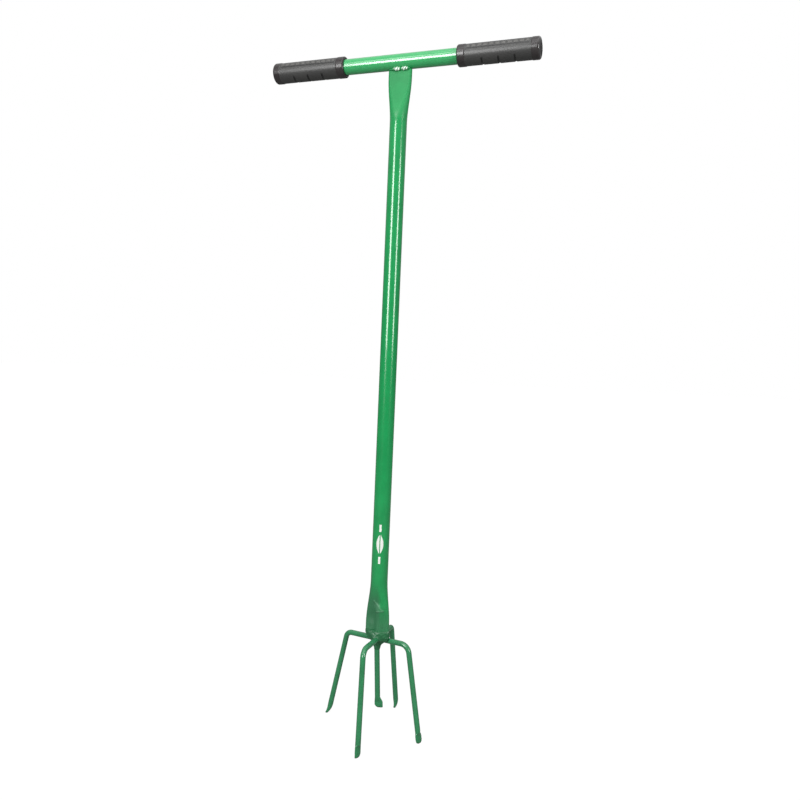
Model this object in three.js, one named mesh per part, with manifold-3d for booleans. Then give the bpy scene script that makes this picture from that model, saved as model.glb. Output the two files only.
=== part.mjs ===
// Twist-type lawn aerator fork: a round steel shaft with a T-handle on top and five
// round-rod tines under it. Millimetres, +Z up the shaft, +X along the crossbar to the
// right grip, +Y to the back. The origin is the foot of the shaft's axis on the plane
// that the four outer tine tips stand on.

import * as THREE from 'three';
import { mergeVertices } from 'three/addons/utils/BufferGeometryUtils.js';
import Module from 'manifold-3d';

const wasm = await Module();
wasm.setup();

const { smoothstep, lerp, degToRad } = THREE.MathUtils;

// ---- Clearances ----
const FIT = 0.3;              // gap between two pieces that touch
const SHANK_ROOM = 0.5;       // gap between the centre tine's shank and the tube pressed over it

// ---- Shaft: a round tube pressed flat at both ends ----
const SHAFT_OD = 25;
const SHAFT_WALL = 1.5;
const MOUTH_Z = 149.5;        // height of the tube's lower mouth
const TOP_THICKNESS = 6.6;    // overall thickness of the flat under the crossbar
const TOP_FLAT = 12;          // length that is fully flat
const TOP_TAPER = 64;         // length over which round turns to flat
const MOUTH_THICKNESS = 4.4;
const MOUTH_FLAT = 12;
const MOUTH_TAPER = 66;

// ---- Crossbar and grips ----
const CROSSBAR_OD = 22;
const CROSSBAR_WALL = 1.5;
const CROSSBAR_Z = 983;       // height of the crossbar's axis
const HANDLE_SPAN = 404;      // overall, over both grips
const GRIP_LENGTH = 116.5;
const GRIP_OD = 29.8;
const GRIP_END_WALL = 3;
const GRIP_EDGE = 2.4;        // rounding of the inner edge
const GRIP_NOSE = 4;          // rounding of the outer edge
const GRIP_DOME = 0.8;        // height of the domed end face
const GRIP_FLAT_RADIUS = 7;   // flat disc in the middle of the end face
const SLOT_WIDTH = 2.6;       // finger slots across the underside
const SLOT_DEPTH = 1.4;
const SLOT_CUTTER = 5.6;      // height of the ring that cuts a slot, well clear of the grip
const SLOT_SHARES = [0.305, 0.505, 0.7];   // their places along the grip, from its inner end

// ---- Tines: round rod, forged to a blade at the tip ----
const ROD_OD = 8;
const BLADE_WIDTH = 12;
const BLADE_THICKNESS = 3.3;
const BLADE_LENGTH = 16;
// The way each blade's width faces, as an azimuth in degrees, and how far its tip is bent aside.
const BLADES = {
  left: { face: 102, set: 1.8 },
  right: { face: 66, set: -0.5 },
  front: { face: 66, set: -0.5 },
  back: { face: 102, set: 2.4 },
  centre: { face: 12, set: 0 },
};

// The U-shaped rod whose legs are the left and right tines. It passes behind the shank, and
// its corners are placed by their reach along it and their drop below the mouth.
const PAIR_TURN = 11.3;       // degrees that the rod is turned from the crossbar
const PAIR_LEFT = { reach: 60.2, drop: 16.2 };
const PAIR_RIGHT = { reach: 47.1, drop: 13.3 };
const LEFT_FOOT = new THREE.Vector3(-83.5, 22.8, 0);
const RIGHT_FOOT = new THREE.Vector3(75.8, -10.7, 0);
const LEFT_BEND_RADIUS = 10;
const RIGHT_BEND_RADIUS = 14;

// The hooks that are the front and back tines, each butted on what it is welded to.
const FRONT_DROP = 10.5;      // of the hook's run, below the mouth
const FRONT_CORNER = new THREE.Vector2(0, -53.7);
const FRONT_FOOT = new THREE.Vector3(9.1, -83.5, 0);
const FRONT_BEND_RADIUS = 14;
const BACK_DROP = 10.5;
const BACK_CORNER = new THREE.Vector2(2.9, 56.4);
const BACK_FOOT = new THREE.Vector3(7.4, 82.8, 0);
const BACK_BEND_RADIUS = 8;

// The centre tine: a shank inside the tube, a slight crank in the weld, then a straight leg.
const SHANK_LENGTH = 33;      // inside the tube
const SHANK_X = 3.4;
const CRANK_DROP = 23;        // below the mouth, where the crank ends
const CRANK_X = 0.7;
const CRANK_RADIUS = 30;
const CENTRE_FOOT = new THREE.Vector3(5.8, 0, 35);

// ---- Welds ----
const TOP_BEAD_MARGIN = 1.8;  // the beads stop this far inside the tube's two edges
const TOP_BEAD_DROP = 4;      // size of the fillet down the tube
const TOP_BEAD_REACH = 5;     // size of the fillet out along the crossbar
const HUB_DEPTH = 28;         // the weld reaches this far below the mouth
const HUB_COLLAR = 1.2;       // its thickness around the centre tine, at its lowest
const HUB_CENTRE_Y = 2.4;     // it sits a little to the back, over the back hook's butt
// Half widths of the weld along X and Y in rod diameters, and the share of its depth where
// they are found.
const HUB_SHOULDER = { x: 2, y: 0.8, share: 0 };
const HUB_CHEST = { x: 2.1, y: 1.3, share: 0.2 };
const HUB_BELLY = { x: 1.8, y: 1.9, share: 0.5 };
const HUB_NECK = { x: 1, y: 1, share: 0.8 };

// ---- Fineness of the round shapes ----
const SHAFT_SIDES = 40;
const BAR_SIDES = 32;
const ROD_SIDES = 14;
const ROD_STEP = 5.5;         // length of one step along a rod
const HUB_SIDES = 28;
const HUB_STEPS = 10;         // per stretch of its outline
const MOUTH_STATIONS = 16;    // sections of the shaft between round and its lower mouth
const TOP_STATIONS = 12;      // and between round and its top
const ARC_STEPS = 4;          // in each rounded edge of a grip
const BEAD_STEPS = 6;
const TOLERANCE = 1e-3;       // points nearer than this are one point

// ---- Materials ----
const greenPaint = (name) => new THREE.MeshStandardMaterial({
  name, color: 0x2f9a58, roughness: 0.28, metalness: 0.0,
});
const blackPlastic = (name) => new THREE.MeshStandardMaterial({
  name, color: 0x3a3a3a, roughness: 0.5, metalness: 0.0,
});

const group = new THREE.Group();
group.name = 'lawn_aerator_fork';

function addPart(name, geometry, material) {
  const mesh = new THREE.Mesh(geometry, material(name));
  mesh.name = name;
  group.add(mesh);
  return mesh;
}

// ---- Booleans ----
function toSolid(geometry) {
  const bare = geometry.clone();
  bare.deleteAttribute('normal');
  bare.deleteAttribute('uv');
  const merged = mergeVertices(bare, TOLERANCE);
  return new wasm.Manifold(new wasm.Mesh({
    numProp: 3,
    vertProperties: new Float32Array(merged.attributes.position.array),
    triVerts: new Uint32Array(merged.index.array),
  }));
}

function toGeometry(solid) {
  const mesh = solid.getMesh();
  const geometry = new THREE.BufferGeometry();
  geometry.setAttribute('position', new THREE.BufferAttribute(mesh.vertProperties, 3));
  geometry.setIndex(new THREE.BufferAttribute(mesh.triVerts, 1));
  geometry.computeVertexNormals();
  return geometry;
}

function cutAway(geometry, cutters) {
  return toGeometry(cutters.reduce((solid, cutter) => solid.subtract(toSolid(cutter)), toSolid(geometry)));
}

// ---- Shaft ----
const shaftTopZ = CROSSBAR_Z - CROSSBAR_OD / 2 - FIT;
const shaftRadius = SHAFT_OD / 2;

// Half of the tube's overall thickness at height z.
function shaftHalfThickness(z) {
  const topFlatZ = shaftTopZ - TOP_FLAT;
  const mouthFlatZ = MOUTH_Z + MOUTH_FLAT;
  const top = smoothstep(z, topFlatZ - TOP_TAPER, topFlatZ);
  const mouth = 1 - smoothstep(z, mouthFlatZ, mouthFlatZ + MOUTH_TAPER);
  return shaftRadius - top * (shaftRadius - TOP_THICKNESS / 2)
    - mouth * (shaftRadius - MOUTH_THICKNESS / 2);
}

// How far each wall stands out over the shank at place x and height z.
function shankBulge(x, z) {
  const bulgeWidth = ROD_OD + 2 * SHAFT_WALL + MOUTH_THICKNESS;
  const shankTopZ = MOUTH_Z + SHANK_LENGTH;
  const rise = ROD_OD / 2 + SHANK_ROOM - (MOUTH_THICKNESS / 2 - SHAFT_WALL);
  const across = 1 - smoothstep(Math.abs(x - SHANK_X), ROD_OD / 4, bulgeWidth / 2 + ROD_OD / 4);
  const up = 1 - smoothstep(z, shankTopZ + FIT, shankTopZ + ROD_OD + MOUTH_THICKNESS);
  return rise * across * up;
}

// A round tube whose section is pressed to two flats and two half-round edges, with the
// length of its outer skin kept. The wall keeps its thickness.
function pressedTube() {
  const stations = (from, length, count) => Array.from(
    { length: count }, (_, i) => from + (length * i) / (count - 1));
  const heights = [
    ...stations(MOUTH_Z, MOUTH_FLAT + MOUTH_TAPER, MOUTH_STATIONS),
    ...stations(shaftTopZ - TOP_FLAT - TOP_TAPER, TOP_FLAT + TOP_TAPER, TOP_STATIONS),
  ];
  const inner = shaftRadius - SHAFT_WALL;
  const up = heights.map((z) => new THREE.Vector2(shaftRadius, z));
  const down = [...heights].reverse().map((z) => new THREE.Vector2(inner, z));
  const geometry = new THREE.LatheGeometry([...up, ...down, up[0].clone()], SHAFT_SIDES);
  geometry.rotateX(Math.PI / 2);

  const position = geometry.attributes.position;
  for (let i = 0; i < position.count; i += 1) {
    const x = position.getX(i);
    const y = position.getY(i);
    const z = position.getZ(i);
    const half = shaftHalfThickness(z);
    const depth = shaftRadius - Math.hypot(x, y);
    const skin = Math.atan2(Math.abs(y), Math.abs(x)) * shaftRadius;
    const edgeArc = (Math.PI / 2) * half;
    const flatHalf = (Math.PI / 2) * (shaftRadius - half);
    const angle = Math.min(skin, edgeArc) / half;
    const along = flatHalf - Math.max(skin - edgeArc, 0) + (half - depth) * Math.cos(angle);
    const newX = Math.sign(x) * (Math.abs(x) < TOLERANCE ? 0 : along);
    const newY = Math.sign(y) * (Math.abs(y) < TOLERANCE ? 0 : (half - depth) * Math.sin(angle));
    position.setXY(i, newX, newY + Math.sign(newY) * shankBulge(newX, z));
  }
  return geometry;
}

addPart('shaft_tube', pressedTube(), greenPaint);

// ---- Crossbar ----
const barEnd = HANDLE_SPAN / 2 - GRIP_END_WALL - FIT;

function crossbarTube() {
  const outer = CROSSBAR_OD / 2;
  const inner = outer - CROSSBAR_WALL;
  const profile = [[outer, -barEnd], [outer, barEnd], [inner, barEnd], [inner, -barEnd], [outer, -barEnd]];
  const geometry = new THREE.LatheGeometry(profile.map(([r, y]) => new THREE.Vector2(r, y)), BAR_SIDES);
  geometry.rotateZ(-Math.PI / 2);
  geometry.translate(0, 0, CROSSBAR_Z);
  return geometry;
}

addPart('crossbar_tube', crossbarTube(), greenPaint);

// ---- Grips ----
// A closed sleeve around the bar's end, open towards the middle, along +Y before it is turned.
function gripGeometry(side) {
  const outer = GRIP_OD / 2;
  const bore = CROSSBAR_OD / 2 + FIT;
  const end = HANDLE_SPAN / 2;
  const start = end - GRIP_LENGTH;
  const nose = end - GRIP_DOME - GRIP_NOSE;
  const outline = new THREE.Path();
  outline.moveTo(0, end - GRIP_END_WALL);
  outline.lineTo(bore, end - GRIP_END_WALL);
  outline.lineTo(bore, start);
  outline.lineTo(outer - GRIP_EDGE, start);
  outline.absarc(outer - GRIP_EDGE, start + GRIP_EDGE, GRIP_EDGE, -Math.PI / 2, 0, false);
  outline.lineTo(outer, nose);
  outline.absarc(outer - GRIP_NOSE, nose, GRIP_NOSE, 0, Math.PI / 2, false);
  outline.lineTo(GRIP_FLAT_RADIUS, end);
  outline.lineTo(0, end);
  const profile = outline.getPoints(ARC_STEPS).filter(
    (p, i, all) => i === 0 || p.distanceTo(all[i - 1]) > TOLERANCE);
  const sleeve = new THREE.LatheGeometry(profile, BAR_SIDES);
  const slots = SLOT_SHARES.map((share) => slotRing(start + share * GRIP_LENGTH));
  const turned = [sleeve, ...slots].map((geometry, i) => {
    geometry.rotateZ(-side * Math.PI / 2);
    geometry.translate(0, 0, CROSSBAR_Z + (i > 0 ? SLOT_DEPTH : 0));
    return geometry;
  });
  return cutAway(turned[0], turned.slice(1));
}

// A ring as wide inside as the grip. Set up by the slot's depth, it cuts the underside only.
function slotRing(place) {
  const inner = GRIP_OD / 2;
  const outer = inner + SLOT_CUTTER;
  const half = SLOT_WIDTH / 2;
  const profile = [
    [outer, place - half], [outer, place + half], [inner, place + half], [inner, place - half],
    [outer, place - half],
  ];
  return new THREE.LatheGeometry(profile.map(([r, y]) => new THREE.Vector2(r, y)), BAR_SIDES);
}

addPart('grip_left', gripGeometry(-1), blackPlastic);
addPart('grip_right', gripGeometry(1), blackPlastic);

// ---- Tines ----
// A path through the points, with its inner corners rounded to the radii.
function roundedPath(points, radii) {
  const path = new THREE.CurvePath();
  let start = points[0];
  for (let i = 1; i < points.length - 1; i += 1) {
    const back = points[i - 1].clone().sub(points[i]).normalize();
    const ahead = points[i + 1].clone().sub(points[i]).normalize();
    const turn = Math.PI - back.angleTo(ahead);
    const reach = radii[i - 1] * Math.tan(turn / 2);
    const handle = (4 / 3) * radii[i - 1] * Math.tan(turn / 4);
    const enter = points[i].clone().addScaledVector(back, reach);
    const leave = points[i].clone().addScaledVector(ahead, reach);
    path.add(new THREE.LineCurve3(start, enter));
    path.add(new THREE.CubicBezierCurve3(
      enter, enter.clone().addScaledVector(back, -handle),
      leave.clone().addScaledVector(ahead, -handle), leave));
    start = leave;
  }
  path.add(new THREE.LineCurve3(start, points[points.length - 1]));
  return path;
}

function rodAlong(path, radius) {
  const corners = Array.from({ length: ROD_SIDES }, (_, i) => {
    const angle = (2 * Math.PI * i) / ROD_SIDES;
    return new THREE.Vector2(radius * Math.cos(angle), radius * Math.sin(angle));
  });
  return new THREE.ExtrudeGeometry(new THREE.Shape(corners), {
    steps: Math.ceil(path.getLength() / ROD_STEP), extrudePath: path, bevelEnabled: false,
  });
}

// Forges the rod's end at foot into a blade: wide along one direction, thin across it,
// set to one side, with a level end.
function forgeTip(geometry, corner, foot, { face, set }) {
  const along = foot.clone().sub(corner).normalize();
  const wide = new THREE.Vector3(Math.cos(degToRad(face)), Math.sin(degToRad(face)), 0);
  wide.addScaledVector(along, -wide.dot(along)).normalize();
  const thin = new THREE.Vector3().crossVectors(wide, along).normalize();
  const position = geometry.attributes.position;
  const point = new THREE.Vector3();
  for (let i = 0; i < position.count; i += 1) {
    point.fromBufferAttribute(position, i).sub(foot);
    const above = -point.dot(along);
    const across = point.dot(wide);
    const through = point.dot(thin);
    if (above < BLADE_LENGTH && Math.hypot(across, through) < ROD_OD) {
      const share = smoothstep(BLADE_LENGTH - above, 0, BLADE_LENGTH / 2);
      const bend = set * (1 - above / BLADE_LENGTH) ** 2;
      point.copy(foot).addScaledVector(along, -above)
        .addScaledVector(wide, across * lerp(1, BLADE_WIDTH / ROD_OD, share))
        .addScaledVector(thin, through * lerp(1, BLADE_THICKNESS / ROD_OD, share) + bend);
      if (above < TOLERANCE) {
        point.addScaledVector(along, (foot.z - point.z) / along.z);
      }
      position.setXYZ(i, point.x, point.y, point.z);
    }
  }
}

// The point on the centre tine's cranked shank that is some drop below the mouth.
function shankAt(drop) {
  return new THREE.Vector3(lerp(SHANK_X, CRANK_X, drop / CRANK_DROP), 0, MOUTH_Z - drop);
}

// The pair's rod passes the shank with the fit between them, measured across the rod.
const pairTurn = degToRad(PAIR_TURN);
const pairAlong = new THREE.Vector3(Math.cos(pairTurn), -Math.sin(pairTurn), 0);
const pairBehind = new THREE.Vector3(Math.sin(pairTurn), Math.cos(pairTurn), 0);
const pairDrop = (PAIR_LEFT.drop + PAIR_RIGHT.drop) / 2;
const pairMiddle = shankAt(pairDrop).setZ(0).addScaledVector(pairBehind, ROD_OD + FIT);

function pairCorner({ reach, drop }, side) {
  const corner = pairMiddle.clone().addScaledVector(pairAlong, side * reach);
  corner.z = MOUTH_Z - drop;
  return corner;
}

const pairLeft = pairCorner(PAIR_LEFT, -1);
const pairRight = pairCorner(PAIR_RIGHT, 1);
const pairPath = roundedPath([LEFT_FOOT, pairLeft, pairRight, RIGHT_FOOT],
  [LEFT_BEND_RADIUS, RIGHT_BEND_RADIUS]);
const tinePair = rodAlong(pairPath, ROD_OD / 2);
forgeTip(tinePair, pairLeft, LEFT_FOOT, BLADES.left);
forgeTip(tinePair, pairRight, RIGHT_FOOT, BLADES.right);
addPart('tine_pair', tinePair, greenPaint);

// The front hook butts on the shank, and the back hook on the rod that passes behind it.
const frontRunZ = MOUTH_Z - FRONT_DROP;
const backRunZ = MOUTH_Z - BACK_DROP;
const frontCorner = new THREE.Vector3(FRONT_CORNER.x, FRONT_CORNER.y, frontRunZ);
const backCorner = new THREE.Vector3(BACK_CORNER.x, BACK_CORNER.y, backRunZ);
const shankFront = shankAt(FRONT_DROP).setY(-ROD_OD / 2 - FIT);
const pairBack = new THREE.Vector3(pairMiddle.x,
  pairMiddle.y + (ROD_OD / 2) * (1 + Math.tan(pairTurn)) + 2 * FIT, backRunZ);

function hookPath(start, corner, foot, radius) {
  return roundedPath([start, corner, foot], [radius]);
}

const tineFront = rodAlong(hookPath(shankFront, frontCorner, FRONT_FOOT, FRONT_BEND_RADIUS), ROD_OD / 2);
forgeTip(tineFront, frontCorner, FRONT_FOOT, BLADES.front);
addPart('tine_front', tineFront, greenPaint);

const tineBack = rodAlong(hookPath(pairBack, backCorner, BACK_FOOT, BACK_BEND_RADIUS), ROD_OD / 2);
forgeTip(tineBack, backCorner, BACK_FOOT, BLADES.back);
addPart('tine_back', tineBack, greenPaint);

const shankTop = new THREE.Vector3(SHANK_X, 0, MOUTH_Z + SHANK_LENGTH);
const shankMouth = shankAt(0);
const crankEnd = shankAt(CRANK_DROP);
const centrePath = roundedPath([shankTop, shankMouth, crankEnd, CENTRE_FOOT], [CRANK_RADIUS, CRANK_RADIUS]);
const tineCentre = rodAlong(centrePath, ROD_OD / 2);
forgeTip(tineCentre, crankEnd, CENTRE_FOOT, BLADES.centre);
addPart('tine_centre', tineCentre, greenPaint);

// ---- Welds ----
// A fillet between the pressed tube's flat face and the crossbar's underside.
function topBead() {
  const length = (Math.PI / 2) * (SHAFT_OD - TOP_THICKNESS) + TOP_THICKNESS - 2 * TOP_BEAD_MARGIN;
  const face = -TOP_THICKNESS / 2 - FIT;
  const reach = CROSSBAR_OD / 2 + FIT;
  const outerY = face - TOP_BEAD_REACH;
  const meetZ = CROSSBAR_Z - Math.sqrt(reach ** 2 - face ** 2);
  const outerZ = CROSSBAR_Z - Math.sqrt(reach ** 2 - outerY ** 2);
  const section = new THREE.Shape();
  section.moveTo(face, meetZ - TOP_BEAD_DROP);
  section.lineTo(face, meetZ);
  section.absarc(0, CROSSBAR_Z, reach, Math.atan2(meetZ - CROSSBAR_Z, face),
    Math.atan2(outerZ - CROSSBAR_Z, outerY), true);
  section.quadraticCurveTo(outerY, meetZ - TOP_BEAD_DROP / 2, face, meetZ - TOP_BEAD_DROP);
  const geometry = new THREE.ExtrudeGeometry(section, {
    depth: length, steps: 1, curveSegments: BEAD_STEPS, bevelEnabled: false,
  });
  geometry.translate(0, 0, -length / 2);
  geometry.applyMatrix4(new THREE.Matrix4().makeBasis(
    new THREE.Vector3(0, 1, 0), new THREE.Vector3(0, 0, 1), new THREE.Vector3(1, 0, 0)));
  return geometry;
}

addPart('top_weld_front', topBead(), greenPaint);
addPart('top_weld_back', topBead().rotateZ(Math.PI), greenPaint);

// The lump of weld under the mouth. Its half widths along X and Y follow one smooth curve
// from the mouth's slim oval, through the rods, to a collar on the centre tine.
function hubLump() {
  const collar = (ROD_OD / 2 + HUB_COLLAR) / ROD_OD;
  const levels = [{ x: collar, y: collar, share: 1 }, HUB_NECK, HUB_BELLY, HUB_CHEST, HUB_SHOULDER];
  const shape = new THREE.CatmullRomCurve3(levels.map(
    ({ x, y, share }) => new THREE.Vector3(
      x * ROD_OD, y * ROD_OD, MOUTH_Z - FIT - share * (HUB_DEPTH - FIT))));
  const sizes = shape.getPoints(HUB_STEPS);
  const profile = [
    new THREE.Vector2(0, sizes[0].z),
    ...sizes.map((s) => new THREE.Vector2(s.x, s.z)),
    new THREE.Vector2(0, sizes[sizes.length - 1].z),
  ];
  const geometry = new THREE.LatheGeometry(profile, HUB_SIDES);
  geometry.rotateX(Math.PI / 2);
  const position = geometry.attributes.position;
  for (let i = 0; i < position.count; i += 1) {
    const size = sizes[Math.min(Math.max((i % profile.length) - 1, 0), sizes.length - 1)];
    const share = (position.getZ(i) - sizes[0].z) / (HUB_DEPTH - FIT);
    const shift = HUB_CENTRE_Y * smoothstep(share, 0, HUB_BELLY.share)
      * (1 - smoothstep(share, HUB_BELLY.share, 1));
    position.setY(i, (position.getY(i) * size.y) / size.x + shift);
  }
  return geometry;
}

function hubWeld() {
  const radius = ROD_OD / 2 + FIT;
  const frontStart = new THREE.Vector3(shankFront.x, 0, frontRunZ);
  const backStart = new THREE.Vector3(pairMiddle.x, pairMiddle.y, backRunZ);
  return cutAway(hubLump(), [
    rodAlong(pairPath, radius),
    rodAlong(hookPath(frontStart, frontCorner, FRONT_FOOT, FRONT_BEND_RADIUS), radius),
    rodAlong(hookPath(backStart, backCorner, BACK_FOOT, BACK_BEND_RADIUS), radius),
    rodAlong(centrePath, radius),
  ]);
}

addPart('hub_weld', hubWeld(), greenPaint);

export default group;
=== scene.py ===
import math

import bpy
import numpy as np
from mathutils import Matrix, Vector


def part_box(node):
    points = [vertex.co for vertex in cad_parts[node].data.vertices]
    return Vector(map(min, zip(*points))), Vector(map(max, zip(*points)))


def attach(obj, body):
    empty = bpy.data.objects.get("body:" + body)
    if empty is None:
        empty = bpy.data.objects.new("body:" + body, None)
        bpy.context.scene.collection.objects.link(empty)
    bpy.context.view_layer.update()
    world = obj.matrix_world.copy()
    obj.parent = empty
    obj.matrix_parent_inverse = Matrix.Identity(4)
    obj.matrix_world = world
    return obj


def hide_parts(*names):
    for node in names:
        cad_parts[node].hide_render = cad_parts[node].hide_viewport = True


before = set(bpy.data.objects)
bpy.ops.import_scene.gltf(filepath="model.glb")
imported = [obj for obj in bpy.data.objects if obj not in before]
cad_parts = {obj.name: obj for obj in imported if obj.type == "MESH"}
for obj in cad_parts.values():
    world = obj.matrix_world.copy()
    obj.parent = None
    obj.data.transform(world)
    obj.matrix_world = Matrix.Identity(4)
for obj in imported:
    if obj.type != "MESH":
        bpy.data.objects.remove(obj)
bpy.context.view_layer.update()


# ---------------------------------------------------------------------------
# Shaft. A 25 mm steel tube with a 1.5 mm wall. Its top is pressed flat under the crossbar, and
# its lower mouth is pressed over the centre tine's shank, which stands out as a ridge. It is
# dipped in glossy green enamel and carries a plain white print near its foot.
# ---------------------------------------------------------------------------
MM = 0.001


def corners_of(node):
    """A CAD node's lowest and highest corners in millimetres, to the tenth."""
    return [[round(value / MM, 1) for value in corner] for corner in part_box(node)]


def smooth(x, low, high):
    """0 below low and 1 above high; between them 3t^2 - 2t^3, where t is the share of the way."""
    t = np.clip((x - low) / (high - low), 0.0, 1.0)
    return t * t * (3.0 - 2.0 * t)


def blend(a, b, share):
    """a where share is 0, b where it is 1, in proportion between them."""
    return a + (b - a) * share


def unit(v):
    """Each vector divided by its length."""
    return v / np.linalg.norm(v, axis=-1, keepdims=True)


def skin(name, rows, ends="poles", **attributes):
    """A closed mesh from an array rows x sides x 3 in millimetres. Row i, side j joins row i + 1
    and side j + 1 in one four-sided face, and the sides close into a ring. With ends "poles"
    the first and last rows close on a point at their middle; with "ring" the last row joins the
    first. Attributes are rows x sides arrays, stored on the points."""
    count, sides = rows.shape[:2]
    i = np.arange(count if ends == "ring" else count - 1)[:, None]
    j = np.arange(sides)[None, :]
    after = (i + 1) % count
    beside = (j + 1) % sides
    quads = np.stack([i * sides + j, i * sides + beside, after * sides + beside, after * sides + j],
                     axis=-1).reshape(-1, 4)
    points = rows.reshape(-1, 3)
    faces = quads.tolist()
    if ends == "poles":
        first, last = len(points), len(points) + 1
        points = np.vstack([points, rows[0].mean(0), rows[-1].mean(0)])
        ring = np.arange(sides)
        beyond = (ring + 1) % sides
        base = (count - 1) * sides
        faces += np.stack([np.full(sides, first), beyond, ring], axis=-1).tolist()
        faces += np.stack([np.full(sides, last), base + ring, base + beyond], axis=-1).tolist()
    mesh = bpy.data.meshes.new(name)
    mesh.from_pydata((points * MM).tolist(), [], faces)
    mesh.update()
    for key, values in attributes.items():
        layer = mesh.attributes.new(key, "FLOAT", "POINT")
        flat = np.asarray(values, float).reshape(-1)
        if ends == "poles":
            flat = np.append(flat, [flat[:sides].mean(), flat[-sides:].mean()])
        layer.data.foreach_set("value", flat.astype(np.float32))
    # A closed surface holds a positive volume when its faces point outwards.
    mesh.calc_loop_triangles()
    corners = np.zeros(len(mesh.loop_triangles) * 3, np.int32)
    mesh.loop_triangles.foreach_get("vertices", corners)
    a, b, c = (points[corners.reshape(-1, 3)[:, k]] for k in range(3))
    if np.einsum("ij,ij->i", a, np.cross(b, c)).sum() < 0:
        mesh.flip_normals()
    mesh.shade_smooth()
    mesh.set_sharp_from_angle(angle=math.radians(50))
    piece = bpy.data.objects.new(name, mesh)
    bpy.context.scene.collection.objects.link(piece)
    return piece


def wire(tree, kind, inputs=None, **settings):
    """One shader node with its settings, its inputs given by name or number as values or sockets."""
    node = tree.nodes.new(kind)
    for key, value in settings.items():
        setattr(node, key, value)
    for key, value in (inputs or {}).items():
        if isinstance(value, bpy.types.NodeSocket):
            tree.links.new(value, node.inputs[key])
        else:
            node.inputs[key].default_value = value
    return node


def calc(tree, operation, a, b=0.0, clamp=False):
    """The result socket of one Math node."""
    return wire(tree, "ShaderNodeMath", {0: a, 1: b}, operation=operation, use_clamp=clamp).outputs[0]


def mix_colour(tree, share, a, b):
    """The colour socket that is a where share is 0 and b where it is 1."""
    node = tree.nodes.new("ShaderNodeMix")
    node.data_type = "RGBA"
    for key, value in ((0, share), (6, a), (7, b)):
        if isinstance(value, bpy.types.NodeSocket):
            tree.links.new(value, node.inputs[key])
        else:
            node.inputs[key].default_value = value
    return node.outputs[2]


def ramp(tree, value, low, high, start=0.0, end=1.0):
    """value carried from the range low..high to start..end, and held there."""
    return wire(tree, "ShaderNodeMapRange", {0: value, 1: low, 2: high, 3: start, 4: end}).outputs[0]


DUST_GREEN = (0.012, 0.075, 0.03, 1.0)
RUST = (0.075, 0.05, 0.032, 1.0)
STEEL = (0.045, 0.045, 0.04, 1.0)


def enamel_group():
    """Brushed or dipped paint over steel: slow clouds of thicker and thinner paint, the
    orange-peel ripple of its surface, specks of dust in it, and steel showing where Wear is
    high, with a ragged edge."""
    tree = bpy.data.node_groups.new("enamel_over_steel", "ShaderNodeTree")
    for name, kind in (("Paint", "NodeSocketColor"), ("Thick Paint", "NodeSocketColor"),
                       ("Steel", "NodeSocketColor"), ("Wear", "NodeSocketFloat"),
                       ("Gloss Roughness", "NodeSocketFloat")):
        tree.interface.new_socket(name, in_out="INPUT", socket_type=kind)
    for name, kind in (("Color", "NodeSocketColor"), ("Roughness", "NodeSocketFloat"),
                       ("Height", "NodeSocketFloat"), ("Bare", "NodeSocketFloat")):
        tree.interface.new_socket(name, in_out="OUTPUT", socket_type=kind)
    given = tree.nodes.new("NodeGroupInput")
    out = tree.nodes.new("NodeGroupOutput")
    place = wire(tree, "ShaderNodeTexCoord").outputs["Object"]
    clouds = wire(tree, "ShaderNodeTexNoise",
                  {"Vector": place, "Scale": 38.0, "Detail": 4.0, "Roughness": 0.55}).outputs[0]
    peel = wire(tree, "ShaderNodeTexNoise",
                {"Vector": place, "Scale": 260.0, "Detail": 1.0, "Roughness": 0.4}).outputs[0]
    ragged = wire(tree, "ShaderNodeTexNoise",
                  {"Vector": place, "Scale": 420.0, "Detail": 5.0, "Roughness": 0.65}).outputs[0]
    specks = wire(tree, "ShaderNodeTexVoronoi", {"Vector": place, "Scale": 240.0}).outputs["Distance"]
    speck = ramp(tree, specks, 0.05, 0.09, 1.0, 0.0)
    torn = calc(tree, "MULTIPLY", calc(tree, "SUBTRACT", ragged, 0.5), 0.9)
    bare = ramp(tree, calc(tree, "ADD", given.outputs["Wear"], torn), 0.52, 0.62)
    paint = mix_colour(tree, ramp(tree, clouds, 0.35, 0.68), given.outputs["Paint"],
                       given.outputs["Thick Paint"])
    dusty = mix_colour(tree, calc(tree, "MULTIPLY", speck, 0.22), paint, DUST_GREEN)
    rust = mix_colour(tree, ramp(tree, ragged, 0.45, 0.7), given.outputs["Steel"], RUST)
    tree.links.new(mix_colour(tree, bare, dusty, rust), out.inputs["Color"])
    shine = calc(tree, "ADD", given.outputs["Gloss Roughness"],
                 calc(tree, "MULTIPLY", calc(tree, "SUBTRACT", clouds, 0.5), 0.08))
    tree.links.new(calc(tree, "ADD", shine, calc(tree, "MULTIPLY", bare, 0.32), clamp=True),
                   out.inputs["Roughness"])
    relief = calc(tree, "ADD", calc(tree, "MULTIPLY", peel, 0.22), calc(tree, "MULTIPLY", speck, 0.4))
    worn = calc(tree, "MULTIPLY", bare, calc(tree, "SUBTRACT", ragged, 1.4))
    tree.links.new(calc(tree, "ADD", relief, worn), out.inputs["Height"])
    tree.links.new(bare, out.inputs["Bare"])
    return tree


enamel = enamel_group()


def surface_shader(name):
    """A new material's node tree and its Principled BSDF."""
    material = bpy.data.materials.new(name)
    material.use_nodes = True
    tree = material.node_tree
    return material, tree, tree.nodes["Principled BSDF"]


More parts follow.
